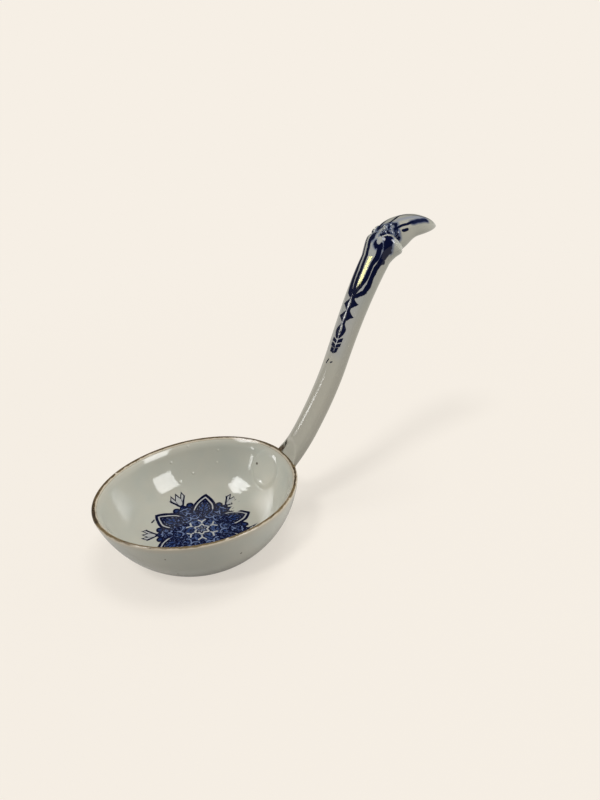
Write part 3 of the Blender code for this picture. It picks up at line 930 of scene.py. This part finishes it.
def print_handle(glaze):
    """A chain of chevrons, a drop and two diamonds, a lined panel, and lines that run on to the tip."""
    skin = glaze.tree.nodes.new("ShaderNodeUVMap")
    skin.uv_map = "skin"
    parts = glaze.tree.nodes.new("ShaderNodeSeparateXYZ")
    glaze.tree.links.new(skin.outputs["UV"], parts.inputs[0])
    along = Reading(parts.outputs["X"]) * (SKIN_UNIT / MM) + glaze.shake(420, 1.5)
    girth = Reading(parts.outputs["Y"]) * (SKIN_UNIT / MM) + glaze.shake(380, 1.5)
    across = girth + PRINT_OFFSET + (along - PRINT_FROM) * PRINT_LEAN
    slanted = along + across * CHAIN_SLANT
    chain = Sheet(slanted, across)
    skin_sheet = Sheet(along, girth)
    beside = abs(across)

    # Chain: loose marks and chevrons below, and a line that joins the diamonds above
    ink = chain.drawn(*CHAIN_SPINE)
    for loose_mark in LOOSE_MARKS:
        ink = ink | chain.drawn(*loose_mark)
    for middle, half_width, half_bar in CHEVRONS:
        bar = abs(slanted - middle - beside * CHEVRON_RISE) - half_bar
        ink = ink | (bar | (beside - half_width)).filled()

    # Drop and diamonds: thick dark borders round a slim pale middle
    drop_along = slanted - DROP_AT
    drop = oval_edge(drop_along, beside, DROP_ROUND) | diamond_edge(drop_along, beside, DROP_POINT)
    drop_middle = oval_edge(drop_along, beside, DROP_MIDDLE)
    ink = ink | drop.filled().but_not(drop_middle.filled()) | chain.dot(*DROP_DOT, CHAIN_DOT)
    for middle in DIAMONDS:
        off_middle = abs(slanted - middle)
        off_pale = abs(across - DIAMOND_MIDDLE_ASIDE)
        diamond = diamond_edge(off_middle, beside, DIAMOND).filled()
        diamond = diamond.but_not(diamond_edge(off_middle, off_pale, DIAMOND_MIDDLE).filled())
        ink = ink | diamond | chain.dot(middle, 0, CHAIN_DOT)

    # Panel: a pair of dark lines on each side, drawn in to a point below and spread under the collar
    for panel_line in PANEL_LINES:
        ink = ink | skin_sheet.drawn(*panel_line)
    for lobe in PANEL_LOBES:
        ink = ink | skin_sheet.dot(*lobe, blur=0.3)

    # Neck and tip: pools in the hollows of the relief, and fine lines that run on over the crest
    neck = None
    for half_width, places in NECK_STROKES:
        stroke = skin_sheet.path(places) - half_width
        neck = stroke if neck is None else neck & stroke
    ragged = (glaze.grain(900, detail=2) - 0.5) * NECK_RAGGED
    boss = skin_sheet.away(*NECK_BOSS) - NECK_BOSS_RADIUS
    bare = (skin_sheet.path(NECK_RIDGE) - NECK_RIDGE_HALF) & boss
    bare = (bare + ragged * 0.5).filled(0.2)
    ink = (ink | (neck + ragged).filled(0.2)).but_not(bare)
    for tip_stroke in TIP_STROKES:
        ink = ink | skin_sheet.drawn(*tip_stroke)
    tip_line = skin_sheet.path(TIP_WASH)
    tip_wash = (tip_line - TIP_WASH_HALF).filled(0.9)
    ink = ink | ((tip_line - TIP_INK_HALF + ragged * 0.4).filled(0.5) * 0.9)

    tip_grey = skin_sheet.drawn(*TIP_GREY, blur=1.5)
    shadowed = (abs(along - SHADOWED_MIDDLE) - SHADOWED_HALF_LENGTH).filled(4)
    shadowed = shadowed * (beside - SHADOWED_HALF_WIDTH).filled(3.5)
    neck_wash = (neck - 0.5).filled(0.9) | skin_sheet.drawn(*NECK_TRAIL, blur=0.8)
    neck_wash = neck_wash.but_not(bare)
    density = (glaze.grain(640, detail=2) * 0.5 + 0.82) & 1.0
    glaze.lay(COBALT_HALO, shadowed * 0.22 | tip_grey * 0.6)
    glaze.lay(COBALT_PALE, neck_wash * 0.6)
    glaze.lay(COBALT_WASH, (neck_wash * 0.5) | (tip_wash * 0.92))
    glaze.lay(COBALT_INK, ink * density)


handle_glaze = Glaze("handle_glaze")
handle_warmth = ((handle_glaze.z - HANDLE_WARM_TO) / HANDLE_WARM_FADE).filled(1.0)
handle_glaze.lay(HANDLE_WARM, handle_warmth * 0.55)
print_handle(handle_glaze)
moulded_handle = set_in_place("moulded_handle", handle_skin(), handle_glaze.fired())
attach(moulded_handle, "root")
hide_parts("handle")


# Luting slip: the runny clay that stuck the handle's root to the bowl, smoothed into a hollow fillet.
# A small web of it was left on one side, and brown has crept into the creases along its edges.
SLIP_SIZE = 1.3 * MM
SLIP_FROM = math.radians(55)
SLIP_ROUND = math.radians(230)
WEB_UP = 6.6 * MM
WEB_OUT = 6.8 * MM
WEB_START = 0.055
WEB_SHARE = 0.27
WEB_FULLNESS = 0.7
SLIP_FADE = 0.12
SLIP_EDGE_ROWS = 11
SLIP_SUNK = 0.15 * MM
SLIP_HEART = 0.8 * MM
SLIP_ROWS = 96
SLIP_CURVE = 8
SLIP_WARM = (0.47, 0.43, 0.35)
SLIP_WARM_TO = 20
CREASE_BROWN = (0.10, 0.065, 0.035)
CREASE_CREEP = 0.20
CREASE_FROM = 5


def slip_section(round_share):
    """The slip's closed outline at one place round the root, from the handle to the wall or the rim."""
    web_taper = math.sin(math.pi / 2 * min(1.0, round_share / WEB_START))
    web = max(0.0, 1 - round_share / WEB_SHARE) * web_taper
    reach = SLIP_SIZE * min(1.0, (1 - round_share) / SLIP_FADE)
    angle = SLIP_FROM - SLIP_ROUND * round_share
    joint_at = root_start(angle, 0)
    joint = oval_point(station(joint_at), angle, 0)
    start = root_start(angle, ROOT_BURIED)
    start_point = oval_point(station(start), angle, 0)
    up_at = joint_at + reach + (WEB_UP - reach) * web * web
    upper = oval_point(station(up_at), angle, -SLIP_SUNK)
    upper = root_drawn_down(upper, up_at, start, start_point)
    out_of_wall = (joint - SPHERE_MIDDLE).normalized()
    sideways = joint - station(joint_at)[0]
    sideways -= out_of_wall * sideways.dot(out_of_wall)
    sideways.z = min(sideways.z, 0.0)
    lower = joint + sideways.normalized() * reach
    lower = SPHERE_MIDDLE + (lower - SPHERE_MIDDLE).normalized() * (SPHERE_RADIUS - SLIP_SUNK)
    lower.z = min(lower.z, LIP_Z)
    rim_turn = math.atan2(joint.y, joint.x) + WEB_OUT * web / LIP_RADIUS
    on_rim = Vector((
        math.cos(rim_turn) * LIP_MIDDLE,
        math.sin(rim_turn) * LIP_MIDDLE,
        BOWL_HEIGHT - SLIP_SUNK,
    ))
    lower = lower.lerp(warped(on_rim), min(1.0, web * 2))
    bend = joint.lerp((upper + lower) / 2, WEB_FULLNESS * web)
    heart = joint - out_of_wall * SLIP_HEART + (station(joint_at)[0] - joint).normalized() * SLIP_HEART
    return interpolate_bezier(upper, bend, bend, lower, SLIP_CURVE + 1) + [heart]


def slip_fillet():
    """The slip's section carried round the root, closed along its hidden edge and at both ends."""
    body = bmesh.new()
    bmesh.ops.create_grid(body, x_segments=SLIP_ROWS, y_segments=SLIP_CURVE + 2, size=1)
    edge_layer = body.verts.layers.float.new("from_slip_edge")
    sections = {}
    for corner in body.verts:
        row = round((corner.co.x + 1) / 2 * SLIP_ROWS)
        step = round((corner.co.y + 1) / 2 * (SLIP_CURVE + 2))
        if row not in sections:
            sections[row] = slip_section(row / SLIP_ROWS)
        section = sections[row]
        across = min(step / SLIP_CURVE, 1.0)
        corner[edge_layer] = min(across, 1 - across, row / SLIP_EDGE_ROWS)
        corner.co = section[step % len(section)]
    bmesh.ops.remove_doubles(body, verts=body.verts, dist=WELD)
    bmesh.ops.edgeloop_fill(body, edges=[edge for edge in body.edges if edge.is_boundary])
    bmesh.ops.recalc_face_normals(body, faces=body.faces)
    return body


slip_glaze = Glaze("slip_glaze")
slip_edge = slip_glaze.carried("from_slip_edge")
slip_glaze.lay(SLIP_WARM, (slip_glaze.z - SLIP_WARM_TO).filled(8) * 0.5)
crept = slip_glaze.grain(650, detail=3) * CREASE_CREEP
web_side = (CREASE_FROM - slip_glaze.y).filled(3)
slip_glaze.lay(CREASE_BROWN, ((slip_edge - crept) * 3).filled(0.5) * web_side)
luting_slip = set_in_place("luting_slip", slip_fillet(), slip_glaze.fired())
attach(luting_slip, "root")
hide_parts("slip_joint")


# Collar: a soft roll moulded round the neck, a little aslant, where the printed panel ends.
# It is part of the handle's moulding, and the glaze lies thin on its crown.
COLLAR_AT = 100.3 * MM
COLLAR_SLANT = 1.3 * MM
COLLAR_UPPER = 3.0 * MM
COLLAR_LOWER = 8.5 * MM
COLLAR_RISE = 1.15 * MM
COLLAR_SUNK = 0.2 * MM
COLLAR_HEART = 1.0 * MM
COLLAR_CURVE = 18


def collar_roll():
    """The collar's rounded section, steeper above than below, and closed under the skin."""
    body = bmesh.new()
    bmesh.ops.create_grid(body, x_segments=ROUND_POINTS, y_segments=COLLAR_CURVE + 2, size=1)
    skin = {}
    for corner in body.verts:
        turn_step = round((corner.co.x + 1) / 2 * ROUND_POINTS)
        step = round((corner.co.y + 1) / 2 * (COLLAR_CURVE + 2)) % (COLLAR_CURVE + 2)
        angle = skin_angle(turn_step / ROUND_POINTS)
        share = step / COLLAR_CURVE * 2 - 1
        raised = (COLLAR_RISE + COLLAR_SUNK) * math.cos(share * math.pi / 2) ** 2 - COLLAR_SUNK
        if step > COLLAR_CURVE:
            share = 0
            raised = -COLLAR_HEART
        reach = COLLAR_UPPER if share > 0 else COLLAR_LOWER
        distance = COLLAR_AT - COLLAR_SLANT * math.cos(angle) + reach * share
        corner.co = oval_point(station(distance), angle, raised)
        skin[corner.index] = (distance, skin_girths(distance)[turn_step])
    map_skin(body, lambda corner: skin[corner.index])
    bmesh.ops.remove_doubles(body, verts=body.verts, dist=WELD)
    bmesh.ops.recalc_face_normals(body, faces=body.faces)
    return body


neck_glaze = Glaze("neck_glaze")
print_handle(neck_glaze)
neck_collar = set_in_place("neck_collar", collar_roll(), neck_glaze.fired())
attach(neck_collar, "root")
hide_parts("collar")


# Sprig: a raised flower and a curled leaf on each side of it, moulded with the handle above the
# collar. Cobalt has run off their tops and pooled dark in the hollows between them.
SPRIG_STEPS = 44
SPRIG_SUNK = 0.25 * MM
SPRIG_HEART = 0.9 * MM
# Each raised piece: where it is along the handle and round it, its radius and its rise
FLOWER = (104.1 * MM, -2.2 * MM, 3.0 * MM, 0.8 * MM)
FLOWER_PETALS = 5
FLOWER_REACH = 0.80
FLOWER_SWING = 0.16
FLOWER_GAP = 0.55
FLOWER_EYE = 0.26
EYE_RING = 0.30
EYE_RING_HALF = 0.12
EYE_RING_DEPTH = 0.7
LEFT_CURL = (102.3 * MM, 4.4 * MM, 2.3 * MM, 0.8 * MM)
RIGHT_CURL = (104.6 * MM, -7.4 * MM, 2.1 * MM, 0.65 * MM)
CURL_NOTCHES = 3
CURL_TURN = 0.6
CURL_REACH = 0.86
CURL_SWING = 0.12
CURL_BEND = 1.4
CURL_GROOVE = 0.22
CURL_GROOVE_DEPTH = 0.75
SPRIG_PALE_TO = 0.6
SPRIG_INK_TO = 0.38


def skin_point(distance, girth, raised):
    """The point of the handle's skin at a distance along it and a girth from its front, raised off."""
    girths = skin_girths(distance)
    step = 0
    while step < ROUND_POINTS - 1 and girths[step + 1] > girth:
        step += 1
    share = (girths[step] - girth) / (girths[step] - girths[step + 1])
    return oval_point(station(distance), skin_angle((step + share) / ROUND_POINTS), raised)


def flower_height(reach, turn):
    """How high the flower stands, from 0 to 1, at a share of its radius and a turn round it."""
    outline = FLOWER_REACH + FLOWER_SWING * math.cos(FLOWER_PETALS * turn)
    dome = max(0.0, 1 - (reach / outline) ** 4)
    between = 0.5 - 0.5 * math.cos(FLOWER_PETALS * turn)
    eye = max(0.0, 1 - (reach / FLOWER_EYE) ** 2)
    hollow = max(0.0, 1 - abs(reach - EYE_RING) / EYE_RING_HALF)
    return max(dome * (1 - FLOWER_GAP * between**3) * (1 - EYE_RING_DEPTH * hollow), eye)


def curl_height(reach, turn):
    """How high a curled leaf stands: a plump lobe with a bent groove along it and a notched edge."""
    outline = CURL_REACH + CURL_SWING * math.cos(CURL_NOTCHES * turn + CURL_TURN)
    dome = max(0.0, 1 - (reach / outline) ** 3)
    groove = max(0.0, 1 - abs(reach * math.sin(turn - CURL_BEND * reach)) / CURL_GROOVE)
    return dome * (1 - CURL_GROOVE_DEPTH * groove)


def raised_patch(place, height):
    """A closed body on the skin: a patch whose height falls off below the skin at its edge."""
    middle, girth, radius, rise = place
    body = bmesh.new()
    bmesh.ops.create_grid(body, x_segments=SPRIG_STEPS, y_segments=SPRIG_STEPS, size=1)
    rise_layer = body.verts.layers.float.new("raised")
    along_layer = body.verts.layers.float.new("along_skin")
    girth_layer = body.verts.layers.float.new("girth_skin")
    for corner in body.verts:
        reach = corner.co.xy.length
        share = height(reach, math.atan2(corner.co.y, corner.co.x)) if reach < 1 else 0.0
        corner[rise_layer] = share
        corner[along_layer] = middle + corner.co.x * radius
        corner[girth_layer] = girth + corner.co.y * radius
        corner.co.z = reach
    outer = [face for face in body.faces if min(corner.co.z for corner in face.verts) > 1]
    bmesh.ops.delete(body, geom=outer, context="FACES")
    for corner in body.verts:
        raised = corner[rise_layer] * (rise + SPRIG_SUNK) - SPRIG_SUNK
        corner.co = skin_point(corner[along_layer], corner[girth_layer], raised)
    under = bmesh.ops.extrude_face_region(body, geom=body.faces[:], use_keep_orig=True)
    for corner in under["geom"]:
        if isinstance(corner, bmesh.types.BMVert):
            corner.co = skin_point(corner[along_layer], corner[girth_layer], -SPRIG_HEART)
    map_skin(body, lambda corner: (corner[along_layer], corner[girth_layer]))
    bmesh.ops.recalc_face_normals(body, faces=body.faces)
    return body


sprig_glaze = Glaze("sprig_glaze")
print_handle(sprig_glaze)
sprig_raised = sprig_glaze.carried("raised") + (sprig_glaze.grain(800, detail=2) - 0.5) * 0.35
sprig_glaze.lay(COBALT_PALE, (sprig_raised - SPRIG_PALE_TO).filled(0.4) * 0.5)
sprig_glaze.lay(COBALT_INK, (sprig_raised - SPRIG_INK_TO).filled(0.25))
sprig_material = sprig_glaze.fired()
for sprig_name, sprig_node, sprig_place, sprig_height in (
    ("raised_flower", "flower_sprig", FLOWER, flower_height),
    ("left_curl", "left_scroll", LEFT_CURL, curl_height),
    ("right_curl", "right_scroll", RIGHT_CURL, curl_height),
):
    sprig = set_in_place(sprig_name, raised_patch(sprig_place, sprig_height), sprig_material)
    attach(sprig, "root")
    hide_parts(sprig_node)


# Table and light: a plain cream sheet that keeps a soft shadow, in a room with a soft lamp on each
# side. Windows and narrow strips of light show only as gloss, and the camera stands where the
# photograph's did.
CREAM = (0.922, 0.863, 0.784)
TABLE_BOUNCE = (0.57, 0.56, 0.55)
TABLE_GLOSS = 0.30
FLOOR_HALF = 3.0
FLOOR_LIT_SHARE = 0.35
PLAIN_FLOOR_FROM = 0.16
PLAIN_FLOOR_TO = 0.42
ROOM_COLOUR = (1.0, 0.99, 0.97)
ROOM_LIGHT = 0.40
ROOM_GLOSS = 0.08
LAMP_DISTANCE = 3.0
LAMP_AIM = Vector((0, 0, 0.02))
WHITE_LIGHT = (1.0, 1.0, 1.0)
SUNNY_LIGHT = (1.0, 0.93, 0.28)


def plain_shader(tree, kind, colour):
    """What a new shader of one kind and colour gives."""
    shader = tree.nodes.new(kind)
    shader.inputs["Color"].default_value = (*colour, 1)
    return shader.outputs[0]


def mixed_shader(tree, share, first, second):
    """What two shaders give together, by the share of the second."""
    mix = tree.nodes.new("ShaderNodeMixShader")
    for port, given in zip(mix.inputs, (share, first, second)):
        tree.links.new(given, port)
    return mix.outputs[0]


floor_body = bmesh.new()
bmesh.ops.create_grid(floor_body, x_segments=2, y_segments=2, size=FLOOR_HALF)
floor_material = bpy.data.materials.new("cream_table")
floor_material.use_nodes = True
floor_tree = floor_material.node_tree
floor_tree.nodes.remove(floor_tree.nodes["Principled BSDF"])
lit_floor = plain_shader(floor_tree, "ShaderNodeBsdfDiffuse", CREAM)
plain_floor = plain_shader(floor_tree, "ShaderNodeEmission", CREAM)
bounce_floor = plain_shader(floor_tree, "ShaderNodeBsdfDiffuse", TABLE_BOUNCE)
floor_place = floor_tree.nodes.new("ShaderNodeTexCoord")
from_ladle = distance_to(floor_tree, floor_place.outputs["Object"], (0, 0, 0))
far_away = floor_tree.nodes.new("ShaderNodeMapRange")
far_away.interpolation_type = "SMOOTHSTEP"
far_away.inputs["From Min"].default_value = PLAIN_FLOOR_FROM
far_away.inputs["From Max"].default_value = PLAIN_FLOOR_TO
far_away.inputs["To Min"].default_value = 1 - FLOOR_LIT_SHARE
floor_tree.links.new(from_ladle.socket, far_away.inputs["Value"])
seen_floor = mixed_shader(floor_tree, far_away.outputs["Result"], lit_floor, plain_floor)
floor_rays = floor_tree.nodes.new("ShaderNodeLightPath")
seen = Reading(floor_rays.outputs["Is Glossy Ray"]) * TABLE_GLOSS
seen = seen | Reading(floor_rays.outputs["Is Camera Ray"])
floor_mix = mixed_shader(floor_tree, seen.socket, bounce_floor, seen_floor)
floor_tree.links.new(floor_mix, floor_tree.nodes["Material Output"].inputs["Surface"])
table = set_in_place("table", floor_body, floor_material)

world = bpy.data.worlds.new("pale_room")
bpy.context.scene.world = world
world.use_nodes = True
room = world.node_tree
room_light = room.nodes["Background"]
room_light.inputs["Color"].default_value = (*ROOM_COLOUR, 1)
room_rays = room.nodes.new("ShaderNodeLightPath")
room_dim = Reading(room_rays.outputs["Is Glossy Ray"]) * (ROOM_GLOSS - ROOM_LIGHT) + ROOM_LIGHT
room.links.new(room_dim.socket, room_light.inputs["Strength"])
room_seen = plain_shader(room, "ShaderNodeBackground", CREAM)
room_mix = mixed_shader(room, room_rays.outputs["Is Camera Ray"], room_light.outputs[0], room_seen)
room.links.new(room_mix, room.nodes["World Output"].inputs["Surface"])


def lit_group(name, pieces):
    """A named set of pieces that a lamp lights, and no others."""
    group = bpy.data.collections.new(name)
    for piece in pieces:
        group.objects.link(piece)
    return group


ladle = [piece for piece in bpy.context.scene.objects if piece.type == "MESH" and piece is not table]
bowl_side = lit_group("bowl_side", [piece for piece in ladle if piece is not moulded_handle])
bowl_alone = lit_group("bowl_alone", [glazed_bowl])
handle_alone = lit_group("handle_alone", [moulded_handle])
table_alone = lit_group("table_alone", [table])


def lamp_towards(azimuth, elevation):
    """The direction from the ladle to a lamp, from its turn about Z and its height, in degrees."""
    turn = math.radians(azimuth)
    lift = math.radians(elevation)
    return Vector((math.cos(lift) * math.cos(turn), math.cos(lift) * math.sin(turn), math.sin(lift)))


def flat_lamp(name, lights, place, size, radiance, shows=True, colour=WHITE_LIGHT, aim=LAMP_AIM,
              away=LAMP_DISTANCE, cone=180):
    """A flat lamp that faces a place on the ladle, and shows in its gloss or else only lights it.

    Its place is a turn about Z, a height and a roll in degrees, and its size a width and a height.
    A narrow cone keeps its light off everything but the place that it faces."""
    azimuth, elevation, roll = place
    width, height = size
    lamp = bpy.data.lights.new(name, "AREA")
    lamp.shape = "RECTANGLE"
    lamp.size = width
    lamp.size_y = height
    lamp.energy = radiance * math.pi * width * height
    lamp.color = colour
    lamp.spread = math.radians(cone)
    placed = bpy.data.objects.new(name, lamp)
    towards = lamp_towards(azimuth, elevation)
    turned = towards.to_track_quat("Z", "Y").to_matrix() @ Matrix.Rotation(math.radians(roll), 3, "Z")
    placed.matrix_world = Matrix.Translation(towards * away + aim) @ turned.to_4x4()
    placed.visible_camera = False
    placed.visible_glossy = shows
    placed.visible_diffuse = not shows
    placed.light_linking.receiver_collection = lights
    bpy.context.scene.collection.objects.link(placed)


SHANK_AIM = Vector((51, 0, 48)) * MM
CHAIN_AIM = Vector((69, -1, 82)) * MM
PANEL_AIM = Vector((79, -3, 100)) * MM
NEAR_LAMP = 0.4
WALL_SOFT_AIM = Vector((34.0, 6.0, 17.0)) * MM
WALL_GLOW_AIM = Vector((27.8, 1.0, 8.9)) * MM
LEFT_GLOW_AIM = Vector((-27.9, 18.0, 14.9)) * MM
INSIDE_LAMP = 0.025
SOFT_PANE = (2.0, 2.0)
FAR_PANE = (1.4, 0.39)
WINDOW_LIGHT = 12.0

flat_lamp("bowl_right_soft", bowl_side, (-17, 30, 0), SOFT_PANE, 5.8, shows=False)
flat_lamp("bowl_left_soft", bowl_side, (-173, 55, 0), SOFT_PANE, 4.35, shows=False)
flat_lamp("handle_right_soft", handle_alone, (-17, 33, 0), SOFT_PANE, 4.4, shows=False)
flat_lamp("handle_left_soft", handle_alone, (-173, 37, 0), SOFT_PANE, 3.4, shows=False)
flat_lamp("overhead_soft", table_alone, (-20, 78, 0), (1.1, 1.1), 7.2, shows=False)
flat_lamp("near_window", bowl_side, (-52, 38, -8), (1.3, 1.85), WINDOW_LIGHT)
flat_lamp("far_window_low", bowl_side, (170, 47, 0), FAR_PANE, WINDOW_LIGHT)
flat_lamp("far_window_middle", bowl_side, (163, 54, 0), FAR_PANE, WINDOW_LIGHT)
flat_lamp("far_window_high", bowl_side, (153, 61, 0), FAR_PANE, WINDOW_LIGHT)
flat_lamp("wall_soft", bowl_alone, (185, 14, 0), (0.02, 0.02), 0.28, shows=False, aim=WALL_SOFT_AIM,
          away=INSIDE_LAMP, cone=90)
flat_lamp("wall_glow", bowl_alone, (120, 23, 0), (0.009, 0.006), 0.26, aim=WALL_GLOW_AIM,
          away=INSIDE_LAMP, cone=50)
flat_lamp("left_glow", bowl_alone, (14, 9, 0), (0.004, 0.004), 0.24, aim=LEFT_GLOW_AIM,
          away=INSIDE_LAMP, cone=60)
flat_lamp("press_edge_light", bowl_alone, (179, 15, 0), (0.2, 0.7), 9.0)
flat_lamp("press_glint", bowl_alone, (150, 22, 0), (0.2, 0.2), WINDOW_LIGHT)
flat_lamp("shank_streak", handle_alone, (122, 5.8, 0), (0.012, 0.009), 7.0, aim=SHANK_AIM,
          away=NEAR_LAMP)
flat_lamp("chain_streak", handle_alone, (121.7, 5.3, 0), (0.012, 0.054), 7.0, aim=CHAIN_AIM,
          away=NEAR_LAMP)
flat_lamp("panel_streak", handle_alone, (130, 19.5, 27), (0.11, 0.08), 14.0, colour=SUNNY_LIGHT,
          aim=PANEL_AIM, away=NEAR_LAMP)

KEY_LIGHT = 1.1
KEY_SOFTNESS = math.radians(12)
KEY_TURN = -136
KEY_HEIGHT = 58

key = bpy.data.lights.new("key", "SUN")
key.energy = KEY_LIGHT
key.angle = KEY_SOFTNESS
key_lamp = bpy.data.objects.new("key", key)
key_lamp.rotation_euler = lamp_towards(KEY_TURN, KEY_HEIGHT).to_track_quat("Z", "Y").to_euler()
key_lamp.light_linking.receiver_collection = table_alone
bpy.context.scene.collection.objects.link(key_lamp)

CAMERA_PLACE = Vector((-41.05, -270.74, 188.21)) * MM
CAMERA_TURN = math.radians(-18.0)
CAMERA_LIFT = math.radians(25.75)
CAMERA_ROLL = math.radians(-7.022)
CAMERA_LENS = 36
CAMERA_SENSOR = 36
CAMERA_NEAREST = 0.01

camera = bpy.data.cameras.new("camera")
camera.lens = CAMERA_LENS
camera.sensor_width = CAMERA_SENSOR
camera.clip_start = CAMERA_NEAREST
camera_object = bpy.data.objects.new("camera", camera)
back = Vector((
    math.sin(CAMERA_TURN) * math.cos(CAMERA_LIFT),
    -math.cos(CAMERA_TURN) * math.cos(CAMERA_LIFT),
    math.sin(CAMERA_LIFT),
))
level_right = Vector((math.cos(CAMERA_TURN), math.sin(CAMERA_TURN), 0))
level_up = back.cross(level_right)
right = level_right * math.cos(CAMERA_ROLL) + level_up * math.sin(CAMERA_ROLL)
up = level_up * math.cos(CAMERA_ROLL) - level_right * math.sin(CAMERA_ROLL)
camera_turned = Matrix((right, up, back)).transposed().to_4x4()
camera_object.matrix_world = Matrix.Translation(CAMERA_PLACE) @ camera_turned
bpy.context.scene.collection.objects.link(camera_object)
bpy.context.scene.camera = camera_object
bpy.context.scene.view_settings.view_transform = "Standard"
